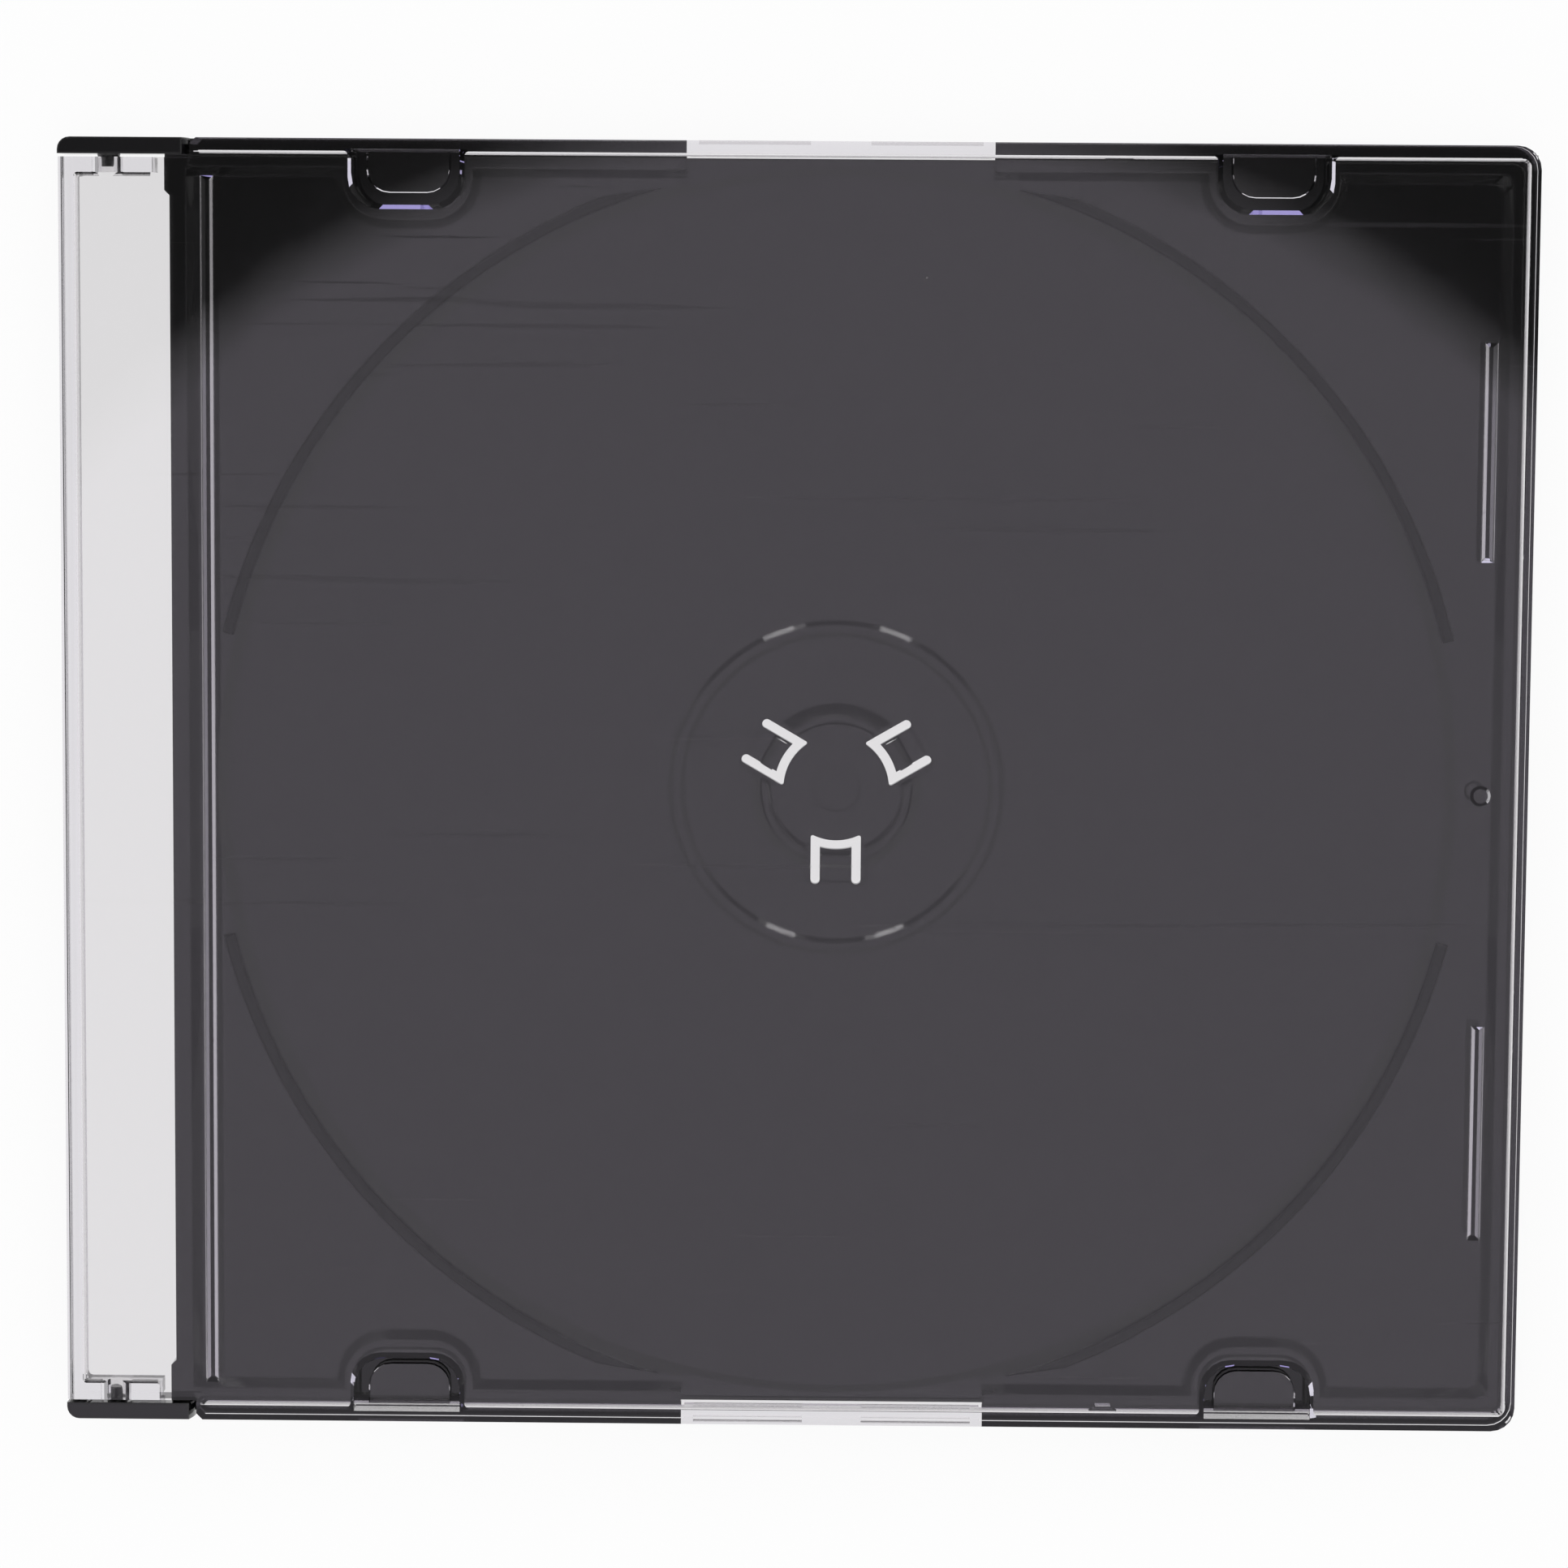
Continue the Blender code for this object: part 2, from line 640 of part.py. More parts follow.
def add_deck_and_rim(body):
    """The raised deck, the rim rib round it and the round well for the disc."""
    deck_top = FLOOR + DECK_RISE
    rim_top = FLOOR + RIM_RISE
    join(body, extruded("rim", [rim_outline(0)], FLOOR - OVERLAP, rim_top))
    cut(body, drafted(
        "inside_rim", rim_outline(RIM_WIDTH + RIM_SLOPE), rim_outline(RIM_WIDTH - RIM_SLOPE),
        deck_top, 2 * rim_top - deck_top))
    well_foot = WELL_RADIUS - WELL_SLOPE
    bpy.ops.mesh.primitive_cone_add(
        vertices=CIRCLE_STEPS, radius1=well_foot, radius2=well_foot + 2 * WELL_SLOPE,
        depth=2 * DECK_RISE, location=(DISC_X, 0, deck_top))
    well = bpy.context.object
    well.name = "well"
    cut(body, well)


def add_guides(body):
    """Four curved ribs that centre the disc's edge."""
    inner = WELL_RADIUS + GUIDE_SETBACK
    outer = inner + GUIDE_WIDTH
    outline = [
        *arc((0, 0), inner, GUIDE_START, GUIDE_INNER_END),
        *arc((0, 0), outer, GUIDE_OUTER_END, GUIDE_START),
    ]
    quarters = []
    for x_side in (-1, 1):
        for y_side in (-1, 1):
            quarters.append([(DISC_X + x_side * x, y_side * y) for x, y in outline])
    guide_top = FLOOR + GUIDE_RISE
    guides = extruded("disc_guides", quarters, FLOOR - OVERLAP, guide_top)
    join(body, chamfered(guides, guide_top, GUIDE_CHAMFER))


def add_hub(body):
    """The disc's seat ring, the collar with its three sprung fingers, and the slots round them."""
    root = FLOOR - OVERLAP
    seat_top = FLOOR + SEAT_RISE
    seat_outer = SEAT_INNER_RADIUS + SEAT_WIDTH
    buried_slope = SEAT_SLOPE * (SEAT_RISE + OVERLAP) / SEAT_RISE
    join(body, turned("disc_seat", [
        (seat_outer - SEAT_SLOPE, seat_top),
        (seat_outer - SEAT_SLOPE + buried_slope, root),
        (SEAT_INNER_RADIUS + SEAT_SLOPE - buried_slope, root),
        (SEAT_INNER_RADIUS + SEAT_SLOPE, seat_top),
    ], DISC_X))

    collar_outer = DISC_HOLE_RADIUS - COLLAR_CLEARANCE
    collar_inner = collar_outer - COLLAR_WALL
    collar_top = seat_top + DISC_THICKNESS + COLLAR_OVER_DISC
    chamfer = COLLAR_WALL / 4
    buried_foot = COLLAR_FOOT * (SEAT_RISE + OVERLAP) / SEAT_RISE
    join(body, turned("collar", [
        (collar_outer - chamfer, collar_top),
        (collar_outer, collar_top - chamfer),
        (collar_outer, seat_top),
        (collar_outer + buried_foot, root),
        (collar_inner, root),
        (collar_inner, collar_top - chamfer),
        (collar_inner + chamfer, collar_top),
    ], DISC_X))

    gap_start = SLOT_BAR_RADIUS
    gap_end = collar_outer + 2 * COLLAR_FOOT
    for index, angle in enumerate(FINGER_ANGLES):
        gap = box_outline(gap_start, gap_end, -FINGER_GAP / 2, FINGER_GAP / 2)
        cut(body, extruded(
            f"collar_gap_{index}", [placed(gap, angle)], FLOOR - HUB_GATE_DEPTH, collar_top + BEYOND))
        join(body, catch(index, angle, collar_outer, collar_inner, collar_top))
        cut(body, extruded(
            f"finger_slot_{index}", [placed(slot_outline(), angle)], -BEYOND, CASE_HEIGHT + BEYOND))

    bpy.ops.mesh.primitive_cylinder_add(
        vertices=CIRCLE_STEPS // 2, radius=HUB_GATE_RADIUS, depth=2 * HUB_GATE_DEPTH,
        location=(DISC_X, 0, FLOOR))
    gate = bpy.context.object
    gate.name = "hub_gate"
    cut(body, gate)


def placed(outline, angle):
    """An outline drawn about the disc's centre, turned by an angle and moved to the centre."""
    turn = Matrix.Rotation(angle, 2)
    centre = Vector((DISC_X, 0))
    return [tuple(centre + turn @ Vector(point)) for point in outline]


def catch(index, angle, collar_outer, collar_inner, collar_top):
    """The catch on a finger's tip: an upright block whose nose holds the disc down."""
    disc_top = FLOOR + SEAT_RISE + DISC_THICKNESS
    nose = collar_outer + FINGER_NOSE
    profile = [
        (collar_inner, FLOOR - OVERLAP),
        (collar_outer, FLOOR - OVERLAP),
        (collar_outer - GAP, disc_top),
        (nose, disc_top + COLLAR_OVER_DISC / 2),
        (collar_outer - GAP, collar_top + COLLAR_OVER_DISC / 2),
        (collar_inner, collar_top + COLLAR_OVER_DISC / 2),
    ]
    half = FINGER_WIDTH / 2 - CATCH_SETBACK
    block = extruded(f"catch_{index}", [profile], -half, half, along="Y")
    block.data.transform(
        Matrix.Translation((DISC_X, 0, 0)) @ Matrix.Rotation(angle, 4, "Z"))
    return block


def slot_outline():
    """The U-shaped slot round one finger, which points along +X from the disc's centre."""
    inner_half = FINGER_WIDTH / 2
    outer_half = inner_half + SLOT_WIDTH
    bar_inner = SLOT_BAR_RADIUS - SLOT_WIDTH / 2
    bar_outer = SLOT_BAR_RADIUS + SLOT_WIDTH / 2
    inner_angle = math.asin(outer_half / bar_inner)
    outer_angle = math.asin(inner_half / bar_outer)
    inner_arc = arc((0, 0), bar_inner, inner_angle, -inner_angle)
    return rounded([
        (*inner_arc[-1], SLOT_CORNER),
        (SLOT_ARM_END, -outer_half, SLOT_END_RADIUS),
        (SLOT_ARM_END, -inner_half, SLOT_END_RADIUS),
        *arc((0, 0), bar_outer, -outer_angle, outer_angle),
        (SLOT_ARM_END, inner_half, SLOT_END_RADIUS),
        (SLOT_ARM_END, outer_half, SLOT_END_RADIUS),
        (*inner_arc[0], SLOT_CORNER),
        *inner_arc[1:-1],
    ])


def add_finger_notches(body):
    """Notches in both long edges, where a thumb lifts the lid, each with a lowered ledge."""
    ledge = FLOOR + DECK_RISE - LEDGE_DROP
    for name, side in (("front", -1), ("back", 1)):
        lowered = box_outline(
            NOTCH_START_X, NOTCH_END_X,
            *sorted((side * (SIDE_Y - NOTCH_LEDGE), side * (SIDE_Y + BEYOND))))
        cut(body, extruded(f"ledge_{name}", [lowered], ledge, CASE_HEIGHT + BEYOND))
        opening = box_outline(
            NOTCH_START_X, NOTCH_END_X,
            *sorted((side * (SIDE_Y - NOTCH_DEPTH), side * (SIDE_Y + 2 * BEYOND))))
        cut(body, extruded(f"notch_{name}", [opening], -BEYOND, CASE_HEIGHT + 2 * BEYOND))


def add_detent_grooves(body):
    """Upright grooves in the rim rib that take the lid's bumps."""
    for name, side in (("front", -1), ("back", 1)):
        cut(body, extruded(
            f"detent_groove_{name}", [detent_outline(side, GAP)], WALL_BASE, CASE_HEIGHT))


def add_pins(body):
    """A tapered pin on the inside of each arm, on the hinge's axis."""
    for name, side in (("front", -1), ("back", 1)):
        join(body, cone_along_y(
            f"pin_{name}", PIVOT_X, PIVOT_Z,
            side * (ARM_INNER_Y + OVERLAP), side * (ARM_INNER_Y - PIN_LENGTH),
            PIN_ROOT_RADIUS, PIN_TIP_RADIUS))


def make_tray():
    """The black tray."""
    body = tray_body()
    add_deck_and_rim(body)
    add_guides(body)
    add_hub(body)
    add_finger_notches(body)
    add_detent_grooves(body)
    add_pins(body)
    black = material("black_plastic", (0.012, 0.012, 0.013), 0.25)
    finish(body, black)
    return body


for leftover in list(bpy.data.objects):
    bpy.data.objects.remove(leftover)
PARTS = collection("slim_disc_case")
GUIDES = collection("guides")

tray = make_tray()
lid = make_lid()

hinge_axis = bpy.data.objects.new("hinge_axis", None)
hinge_axis.location = (PIVOT_X, 0.0, PIVOT_Z)
hinge_axis.empty_display_size = PIVOT_Z
PARTS.objects.link(hinge_axis)
lid.parent = hinge_axis
lid.location = (-PIVOT_X, 0.0, -PIVOT_Z)
bpy.context.view_layer.update()
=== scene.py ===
"""Looks of the slim disc case: clear lid, black tray, white table, in a studio painted into the world."""

import json
import math

import bpy
from mathutils import Matrix, Vector

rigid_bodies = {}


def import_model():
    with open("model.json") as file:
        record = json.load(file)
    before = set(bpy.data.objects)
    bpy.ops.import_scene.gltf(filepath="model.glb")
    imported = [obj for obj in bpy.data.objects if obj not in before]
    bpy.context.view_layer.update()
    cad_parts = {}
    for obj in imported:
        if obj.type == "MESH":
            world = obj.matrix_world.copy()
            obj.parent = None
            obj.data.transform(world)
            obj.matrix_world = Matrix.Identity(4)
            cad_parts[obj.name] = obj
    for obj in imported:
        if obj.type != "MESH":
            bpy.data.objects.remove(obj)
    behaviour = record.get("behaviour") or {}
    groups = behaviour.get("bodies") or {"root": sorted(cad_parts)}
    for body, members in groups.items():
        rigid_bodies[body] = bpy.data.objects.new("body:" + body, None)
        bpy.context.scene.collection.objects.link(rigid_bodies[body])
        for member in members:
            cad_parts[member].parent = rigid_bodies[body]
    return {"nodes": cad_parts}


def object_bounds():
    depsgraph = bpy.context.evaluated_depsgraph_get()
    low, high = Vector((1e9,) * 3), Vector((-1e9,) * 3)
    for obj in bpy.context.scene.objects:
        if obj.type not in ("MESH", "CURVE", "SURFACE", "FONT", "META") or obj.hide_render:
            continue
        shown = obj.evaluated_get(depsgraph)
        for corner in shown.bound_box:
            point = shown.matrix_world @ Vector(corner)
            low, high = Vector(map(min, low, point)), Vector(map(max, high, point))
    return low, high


for leftover in list(bpy.data.objects):
    bpy.data.objects.remove(leftover)
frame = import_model()
cad_low, cad_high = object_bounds()

# The case's two mouldings, and the hub's centre seen from above
LID = frame["nodes"]["lid"]
TRAY = frame["nodes"]["tray"]
HUB_CENTRE = (0.0041, 0.0, 0.0)

# Camera, above the case and leaning towards its far long side
CAMERA_DISTANCE = 0.475
CAMERA_LEAN_X = math.radians(0.64)
CAMERA_LEAN_Y = math.radians(5.81)
CAMERA_ROLL = math.radians(0.384)
CAMERA_AIM = Vector((-0.00098, 0.00046, 0.0026))
SENSOR = 36.0
FRAME_WIDTH = 0.15270           # what the picture spans at the case
CLIP_START = 0.01

# Soft light overhead, a round patch of the surround whose mirror image fills the lid but for two corners.
# Its centre and radius are slopes off the upright.
PANEL_SLOPE_X = 0.0008
PANEL_SLOPE_Y = -0.1733
PANEL_RADIUS = 0.2090
PANEL_EDGE = 0.007
PANEL_STRENGTH = 0.585
PANEL_COLOUR = (1.0, 0.95, 1.06)
LOWEST_HEIGHT = 0.001           # of a direction, so that a level one has a slope too

# Two small lights behind the case, which slopes that face them show as bright arcs
REAR_AZIMUTHS = (math.radians(67), math.radians(112))
REAR_ELEVATION = math.radians(26)
REAR_RADIUS = (0.08, 0.14)      # angle in radians over which each fades
REAR_STRENGTH = 6.0

# The surround as glossy plastic mirrors it, by the height of a direction: 0 level, 1 straight up
HORIZON_WHITE = 0.10
HORIZON_END = 0.35
WALL_TOP = 0.84
WALL_FULL = 0.80
WALL_LEVEL = 0.50
REAR_OPENS = 0.45               # how far a direction turns to the rear before the wall ends
REAR_OPEN = 0.65
REAR_TOP = (0.60, 0.66)         # above this height the wall goes all round
DARK_LEVEL = 0.06               # between the panel and the wall

# Table
TABLE_REACH = 3.0               # from its middle to each edge
TABLE_DROP = 0.0002             # below the case's back, so that the two faces don't share a plane
TABLE_GREY = (0.8, 0.8, 0.8, 1.0)
TABLE_GLOW = 0.92               # share of the table's white that no shadow reaches
WHITE = (1.0, 1.0, 1.0, 1.0)

# Clear plastic. Scales of noise are per metre.
CLEAR_TINT = (0.835, 0.825, 0.830)
CLEAR_IOR = 1.52
EDGE_TINT = (0.42, 0.34, 0.82)  # what a long way inside the clear plastic leaves of white
EDGE_DENSITY = 12.0             # per metre
HAIRLINE_SCALE = 900.0
HAIRLINE_STRETCH = (0.02, 1.0, 1.0)
HAIRLINE_RANGE = (0.72, 0.76)   # of the noise, from no scratch to a full one
HAIRLINE_ROUGHNESS = 0.14
CLEAR_RIPPLE_SCALE = 55.0
CLEAR_RIPPLE_HEIGHT = 0.00001

# Black plastic
BLACK = (0.0075, 0.0072, 0.0080)
BLACK_IOR = 1.68
EDGE_ROUND = 0.0003             # radius over which the shading turns round the tray's edges
EDGE_SAMPLES = 2
DUST_COLOUR = (0.32, 0.31, 0.30)
DUST_SCALE = 160.0
DUST_SHARE = 0.08               # of the grid's cells that hold a speck
CHOICE_EDGE = 0.001             # width of the step between a chosen cell and an empty one
SPECK_EDGE = (0.016, 0.030)     # of the distance between two specks
SATIN_SCALE = 420.0
SATIN_RANGE = (0.3, 0.7)        # of the noise, from the glossiest spot to the dullest
GLOSS_ROUGHNESS = (0.040, 0.058)
BLACK_RIPPLE_SCALE = 45.0
BLACK_RIPPLE_HEIGHT = 0.00002

# Matt tops of the disc guides
MATT_ROUGHNESS = 0.50
GUIDE_MIDDLE = 0.06105          # radius of the middle of the disc guides
GUIDE_HALF = 0.0006
GUIDE_BASE = 0.0023             # height over which only the guides reach, inside the rim


def new_material(name):
    """A material with an empty node tree, and the tree's nodes and links."""
    made = bpy.data.materials.new(name)
    made.use_nodes = True
    made.node_tree.nodes.clear()
    return made, made.node_tree.nodes, made.node_tree.links


def place_noise(nodes, links, scale, detail=2.0, stretch=(1.0, 1.0, 1.0)):
    """Noise fixed to the moulding, with a scale per metre, and longer along an axis of small stretch."""
    place = nodes.new("ShaderNodeTexCoord")
    mapping = nodes.new("ShaderNodeMapping")
    mapping.inputs["Scale"].default_value = stretch
    noise = nodes.new("ShaderNodeTexNoise")
    noise.inputs["Scale"].default_value = scale
    noise.inputs["Detail"].default_value = detail
    links.new(place.outputs["Object"], mapping.inputs["Vector"])
    links.new(mapping.outputs["Vector"], noise.inputs["Vector"])
    return noise.outputs["Fac"]


def mapped(nodes, links, source, from_range, to_range):
    """A value taken from one range to another, clamped."""
    ramp = nodes.new("ShaderNodeMapRange")
    ramp.inputs["From Min"].default_value = from_range[0]
    ramp.inputs["From Max"].default_value = from_range[1]
    ramp.inputs["To Min"].default_value = to_range[0]
    ramp.inputs["To Max"].default_value = to_range[1]
    links.new(source, ramp.inputs["Value"])
    return ramp.outputs["Result"]


def arithmetic(nodes, links, operation, first, second):
    """A Math node. Each input is a socket or a number."""
    node = nodes.new("ShaderNodeMath")
    node.operation = operation
    for socket, value in zip(node.inputs, (first, second)):
        if isinstance(value, float):
            socket.default_value = value
        else:
            links.new(value, socket)
    return node.outputs["Value"]


def vector_part(nodes, links, operation, source, other):
    """A Vector Math node on a vector and a constant."""
    node = nodes.new("ShaderNodeVectorMath")
    node.operation = operation
    node.inputs[1].default_value = other
    links.new(source, node.inputs[0])
    return node.outputs["Value" if operation == "DISTANCE" else "Vector"]


def soft_edges(nodes, radius):
    """A surface direction that turns smoothly round a moulding's edges."""
    edges = nodes.new("ShaderNodeBevel")
    edges.samples = EDGE_SAMPLES
    edges.inputs["Radius"].default_value = radius
    return edges.outputs["Normal"]


def bumped(nodes, links, height, distance, under=None):
    """A bump from a height of 0 to 1 that stands for a distance, on the surface or on a given direction."""
    bump = nodes.new("ShaderNodeBump")
    bump.inputs["Strength"].default_value = 1.0
    bump.inputs["Distance"].default_value = distance
    links.new(height, bump.inputs["Height"])
    if under is not None:
        links.new(under, bump.inputs["Normal"])
    return bump.outputs["Normal"]


def specks(nodes, links, scale, share):
    """A mask of tiny round specks, one in some of the cells of a grid with a scale per metre."""
    place = nodes.new("ShaderNodeTexCoord")
    cells = nodes.new("ShaderNodeTexVoronoi")
    cells.inputs["Scale"].default_value = scale
    links.new(place.outputs["Object"], cells.inputs["Vector"])
    split = nodes.new("ShaderNodeSeparateColor")
    links.new(cells.outputs["Color"], split.inputs["Color"])
    step = (1.0 - share, 1.0 - share + CHOICE_EDGE)
    chosen = mapped(nodes, links, split.outputs["Red"], step, (0.0, 1.0))
    close = mapped(nodes, links, cells.outputs["Distance"], SPECK_EDGE, (1.0, 0.0))
    return arithmetic(nodes, links, "MULTIPLY", chosen, close)


def clear_plastic():
    """Clear polystyrene: glossy, rippled a little by moulding, with hairline scratches."""
    made, nodes, links = new_material("clear_polystyrene")
    output = nodes.new("ShaderNodeOutputMaterial")
    shader = nodes.new("ShaderNodeBsdfPrincipled")
    shader.inputs["Base Color"].default_value = (*CLEAR_TINT, 1.0)
    shader.inputs["IOR"].default_value = CLEAR_IOR
    shader.inputs["Transmission Weight"].default_value = 1.0
    inside = nodes.new("ShaderNodeVolumeAbsorption")
    inside.inputs["Color"].default_value = (*EDGE_TINT, 1.0)
    inside.inputs["Density"].default_value = EDGE_DENSITY
    along = place_noise(nodes, links, HAIRLINE_SCALE, detail=1.0, stretch=HAIRLINE_STRETCH)
    hairlines = mapped(nodes, links, along, HAIRLINE_RANGE, (0.0, HAIRLINE_ROUGHNESS))
    links.new(hairlines, shader.inputs["Roughness"])
    waves = place_noise(nodes, links, CLEAR_RIPPLE_SCALE)
    links.new(bumped(nodes, links, waves, CLEAR_RIPPLE_HEIGHT), shader.inputs["Normal"])
    links.new(shader.outputs["BSDF"], output.inputs["Surface"])
    links.new(inside.outputs["Volume"], output.inputs["Volume"])
    return made


def guide_tops(nodes, links):
    """A mask of the disc guides' tops, which the mould leaves matt."""
    place = nodes.new("ShaderNodeTexCoord")
    flat = vector_part(nodes, links, "MULTIPLY", place.outputs["Object"], (1.0, 1.0, 0.0))
    radius = vector_part(nodes, links, "DISTANCE", flat, HUB_CENTRE)
    split = nodes.new("ShaderNodeSeparateXYZ")
    links.new(place.outputs["Object"], split.inputs["Vector"])
    off = arithmetic(nodes, links, "SUBTRACT", radius, GUIDE_MIDDLE)
    beside = arithmetic(nodes, links, "ABSOLUTE", off, 0.0)
    near = arithmetic(nodes, links, "LESS_THAN", beside, GUIDE_HALF)
    high = arithmetic(nodes, links, "GREATER_THAN", split.outputs["Z"], GUIDE_BASE)
    return arithmetic(nodes, links, "MULTIPLY", near, high)


def black_plastic():
    """Black polystyrene with a satin gloss, a little sink and ripple, and the odd speck of dust."""
    made, nodes, links = new_material("black_polystyrene")
    output = nodes.new("ShaderNodeOutputMaterial")
    shader = nodes.new("ShaderNodeBsdfPrincipled")
    shader.inputs["IOR"].default_value = BLACK_IOR
    dust = specks(nodes, links, DUST_SCALE, DUST_SHARE)
    colour = nodes.new("ShaderNodeMix")
    colour.data_type = "RGBA"
    colour.inputs["A"].default_value = (*BLACK, 1.0)
    colour.inputs["B"].default_value = (*DUST_COLOUR, 1.0)
    links.new(dust, colour.inputs["Factor"])
    links.new(colour.outputs["Result"], shader.inputs["Base Color"])
    satin = place_noise(nodes, links, SATIN_SCALE, detail=4.0)
    gloss = mapped(nodes, links, satin, SATIN_RANGE, GLOSS_ROUGHNESS)
    roughness = nodes.new("ShaderNodeMix")
    links.new(guide_tops(nodes, links), roughness.inputs["Factor"])
    links.new(gloss, roughness.inputs["A"])
    roughness.inputs["B"].default_value = MATT_ROUGHNESS
    links.new(roughness.outputs["Result"], shader.inputs["Roughness"])
    edges = soft_edges(nodes, EDGE_ROUND)
    waves = place_noise(nodes, links, BLACK_RIPPLE_SCALE)
    links.new(bumped(nodes, links, waves, BLACK_RIPPLE_HEIGHT, edges), shader.inputs["Normal"])
    links.new(shader.outputs["BSDF"], output.inputs["Surface"])
    return made


def dress(node, surface):
    """Gives a node its material."""
    node.data.materials.clear()
    node.data.materials.append(surface)


def surround(nodes, links, direction):
    """How bright glossy plastic sees the wall and the horizon round the case."""
    split = nodes.new("ShaderNodeSeparateXYZ")
    links.new(direction, split.inputs["Vector"])
    height = split.outputs["Z"]
    horizon = mapped(nodes, links, height, (HORIZON_WHITE, HORIZON_END), (1.0, 0.0))
    wall = mapped(nodes, links, height, (WALL_FULL, WALL_TOP), (WALL_LEVEL, 0.0))
    level = vector_part(nodes, links, "MULTIPLY", direction, (1.0, 1.0, 0.0))
    heading = vector_part(nodes, links, "NORMALIZE", level, (0.0, 0.0, 0.0))
    rear = nodes.new("ShaderNodeSeparateXYZ")
    links.new(heading, rear.inputs["Vector"])
    closed = mapped(nodes, links, rear.outputs["Y"], (REAR_OPENS, REAR_OPEN), (1.0, 0.0))
    high = mapped(nodes, links, height, REAR_TOP, (0.0, 1.0))
    standing = arithmetic(nodes, links, "MAXIMUM", closed, high)
    around = arithmetic(nodes, links, "MULTIPLY", wall, standing)
    return arithmetic(nodes, links, "MAXIMUM", horizon, around)


def overhead_panel(nodes, links, direction):
    """A mask of the round soft light overhead."""
    split = nodes.new("ShaderNodeSeparateXYZ")
    links.new(direction, split.inputs["Vector"])
    height = arithmetic(nodes, links, "MAXIMUM", split.outputs["Z"], LOWEST_HEIGHT)
    slopes = nodes.new("ShaderNodeCombineXYZ")
    links.new(arithmetic(nodes, links, "DIVIDE", split.outputs["X"], height), slopes.inputs["X"])
    links.new(arithmetic(nodes, links, "DIVIDE", split.outputs["Y"], height), slopes.inputs["Y"])
    off = vector_part(
        nodes, links, "DISTANCE", slopes.outputs["Vector"], (PANEL_SLOPE_X, PANEL_SLOPE_Y, 0.0))
    fade = (PANEL_RADIUS - PANEL_EDGE, PANEL_RADIUS + PANEL_EDGE)
    return mapped(nodes, links, off, fade, (1.0, 0.0))


def rear_lights(nodes, links, direction):
    """How bright glossy plastic sees the two small lights behind the case."""
    across = math.cos(REAR_ELEVATION)
    lights = []
    for azimuth in REAR_AZIMUTHS:
        towards = (across * math.cos(azimuth), across * math.sin(azimuth), math.sin(REAR_ELEVATION))
        off = vector_part(nodes, links, "DISTANCE", direction, towards)
        lights.append(mapped(nodes, links, off, REAR_RADIUS, (REAR_STRENGTH, 0.0)))
    return arithmetic(nodes, links, "MAXIMUM", *lights)


def white_world():
    """A white studio. Reflections see its parts: horizon, wall, the panel overhead and two lights."""
    world = bpy.data.worlds.new("studio")
    bpy.context.scene.world = world
    world.use_nodes = True
    # Rays meet the painted lights by themselves, and seeking them out as well costs time
    world.cycles.sampling_method = "NONE"
    nodes, links = world.node_tree.nodes, world.node_tree.links
    nodes.clear()
    output = nodes.new("ShaderNodeOutputWorld")
    background = nodes.new("ShaderNodeBackground")
    place = nodes.new("ShaderNodeTexCoord")
    direction = place.outputs["Generated"]
    panel = overhead_panel(nodes, links, direction)
    lit = arithmetic(nodes, links, "MULTIPLY", panel, PANEL_STRENGTH)
    lit = arithmetic(nodes, links, "MAXIMUM", lit, DARK_LEVEL)
    mirrored = arithmetic(nodes, links, "MAXIMUM", surround(nodes, links, direction), lit)
    mirrored = arithmetic(nodes, links, "MAXIMUM", mirrored, rear_lights(nodes, links, direction))
    path = nodes.new("ShaderNodeLightPath")
    unmirrored = arithmetic(nodes, links, "SUBTRACT", 1.0, path.outputs["Is Glossy Ray"])
    links.new(arithmetic(nodes, links, "MAXIMUM", mirrored, unmirrored), background.inputs["Strength"])
    colour = nodes.new("ShaderNodeMix")
    colour.data_type = "RGBA"
    colour.inputs["A"].default_value = WHITE
    colour.inputs["B"].default_value = (*PANEL_COLOUR, 1.0)
    tinted = arithmetic(nodes, links, "MULTIPLY", panel, path.outputs["Is Glossy Ray"])
    links.new(tinted, colour.inputs["Factor"])
    links.new(colour.outputs["Result"], background.inputs["Color"])
    links.new(background.outputs["Background"], output.inputs["Surface"])


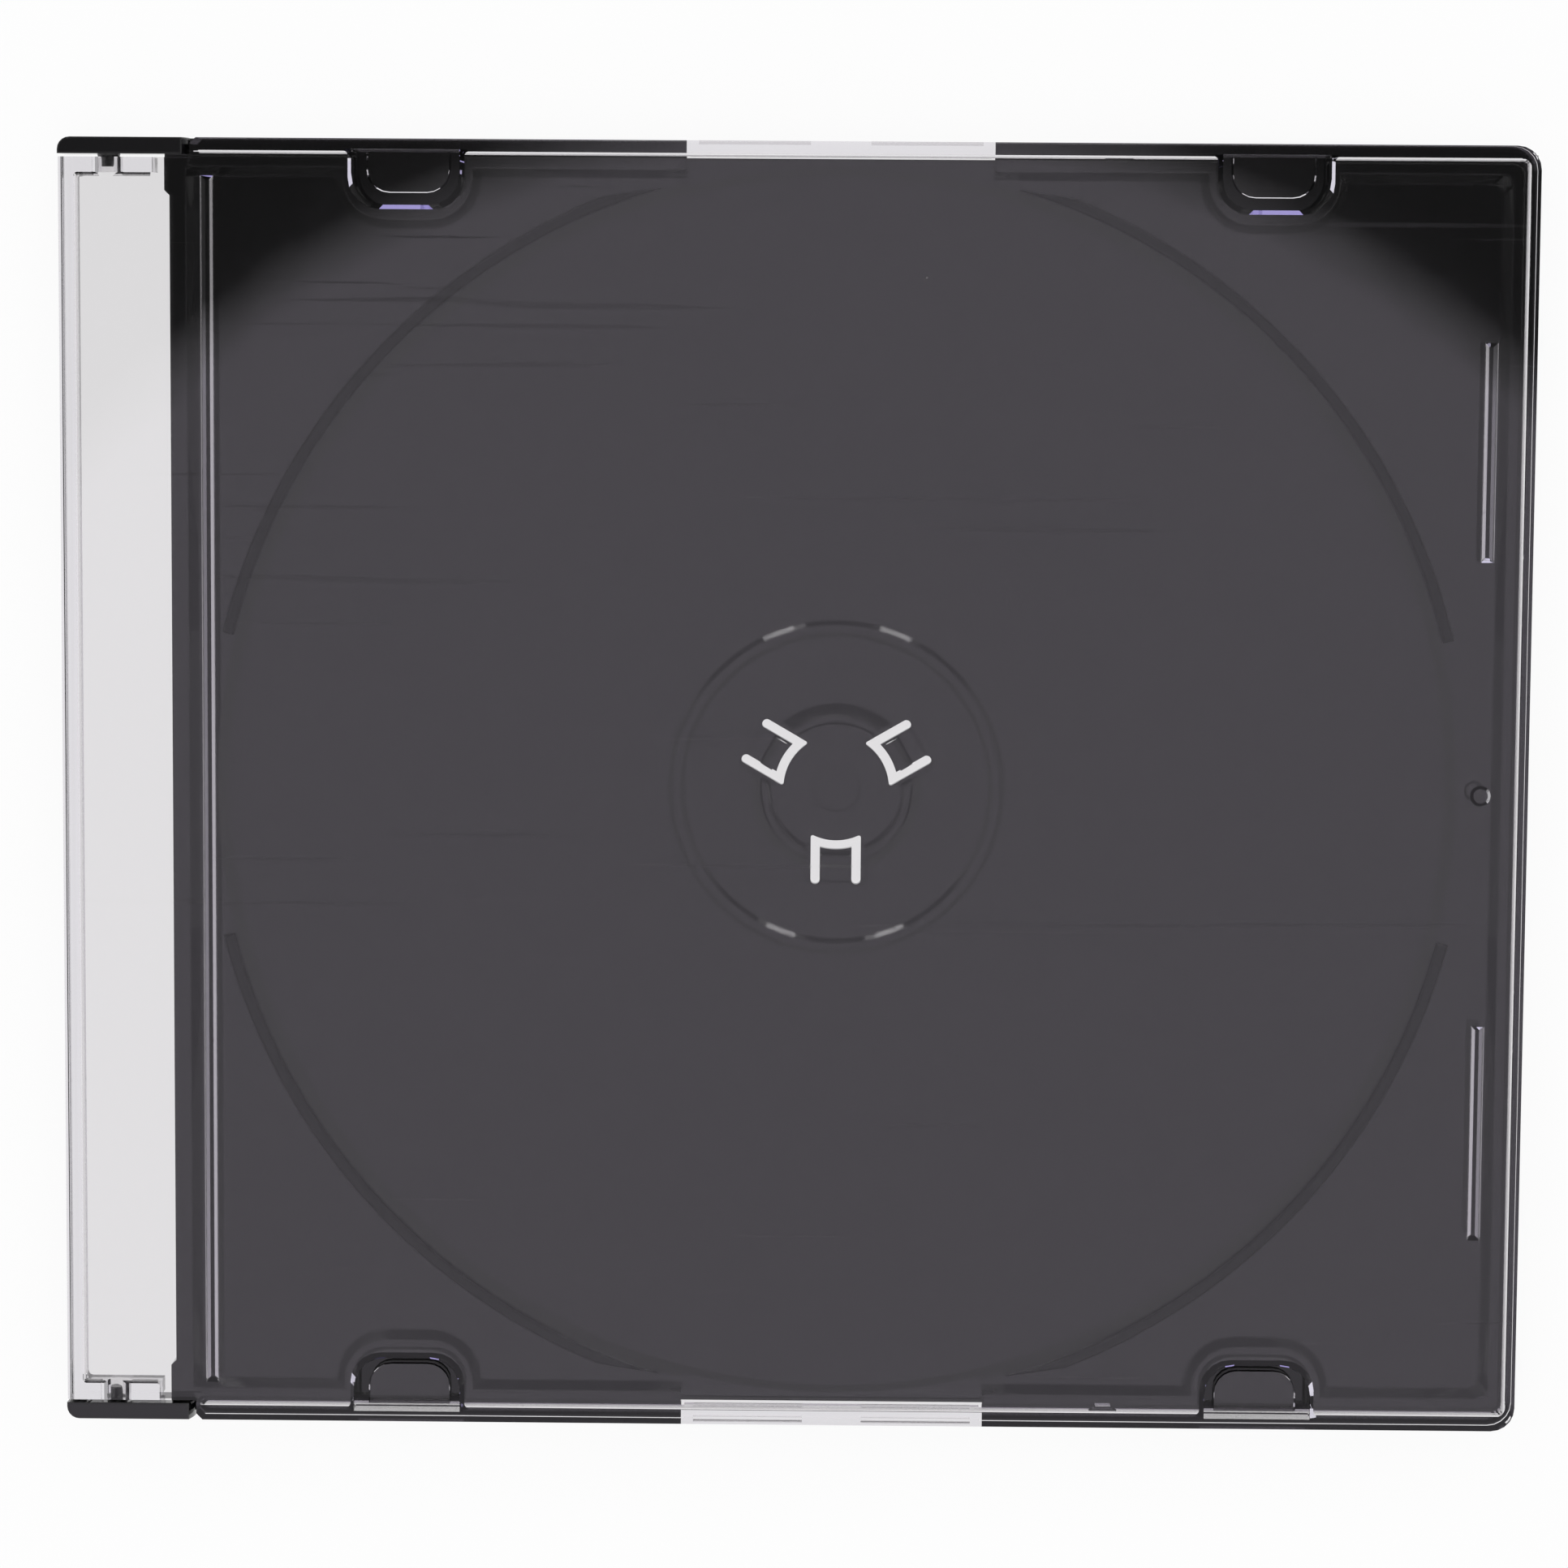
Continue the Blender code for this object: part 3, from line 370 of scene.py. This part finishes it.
def white_table():
    """A white table that fills the view and still takes the case's shadow."""
    mesh = bpy.data.meshes.new("table")
    sides = ((-1, -1), (1, -1), (1, 1), (-1, 1))
    corners = [(x * TABLE_REACH, y * TABLE_REACH, 0) for x, y in sides]
    mesh.from_pydata(corners, [], [(0, 1, 2, 3)])
    table = bpy.data.objects.new("table", mesh)
    table.location.z = cad_low.z - TABLE_DROP
    bpy.context.scene.collection.objects.link(table)
    made, nodes, links = new_material("white_table")
    output = nodes.new("ShaderNodeOutputMaterial")
    matt = nodes.new("ShaderNodeBsdfDiffuse")
    matt.inputs["Color"].default_value = TABLE_GREY
    glow = nodes.new("ShaderNodeEmission")
    glow.inputs["Color"].default_value = WHITE
    path = nodes.new("ShaderNodeLightPath")
    seen = arithmetic(
        nodes, links, "MAXIMUM", path.outputs["Is Glossy Ray"], path.outputs["Is Transmission Ray"])
    seen = arithmetic(nodes, links, "MAXIMUM", seen, path.outputs["Is Camera Ray"])
    share = arithmetic(nodes, links, "MULTIPLY", seen, TABLE_GLOW)
    mix = nodes.new("ShaderNodeMixShader")
    links.new(share, mix.inputs["Fac"])
    links.new(matt.outputs["BSDF"], mix.inputs[1])
    links.new(glow.outputs["Emission"], mix.inputs[2])
    links.new(mix.outputs["Shader"], output.inputs["Surface"])
    mesh.materials.append(made)


def add_camera():
    """The photograph's camera."""
    data = bpy.data.cameras.new("camera")
    data.sensor_width = SENSOR
    data.lens = SENSOR * CAMERA_DISTANCE / FRAME_WIDTH
    data.clip_start = CLIP_START
    camera = bpy.data.objects.new("camera", data)
    away = Vector((math.tan(CAMERA_LEAN_X), math.tan(CAMERA_LEAN_Y), 1.0)).normalized()
    right = Vector((0.0, 1.0, 0.0)).cross(away).normalized()
    turn = Matrix((right, away.cross(right), away)).transposed().to_4x4()
    place = Matrix.Translation(CAMERA_AIM + away * CAMERA_DISTANCE)
    camera.matrix_world = place @ turn @ Matrix.Rotation(CAMERA_ROLL, 4, "Z")
    bpy.context.scene.collection.objects.link(camera)
    bpy.context.scene.camera = camera


bpy.context.scene.view_settings.view_transform = "Standard"
add_camera()
white_world()
white_table()
dress(LID, clear_plastic())
dress(TRAY, black_plastic())

bpy.context.view_layer.update()
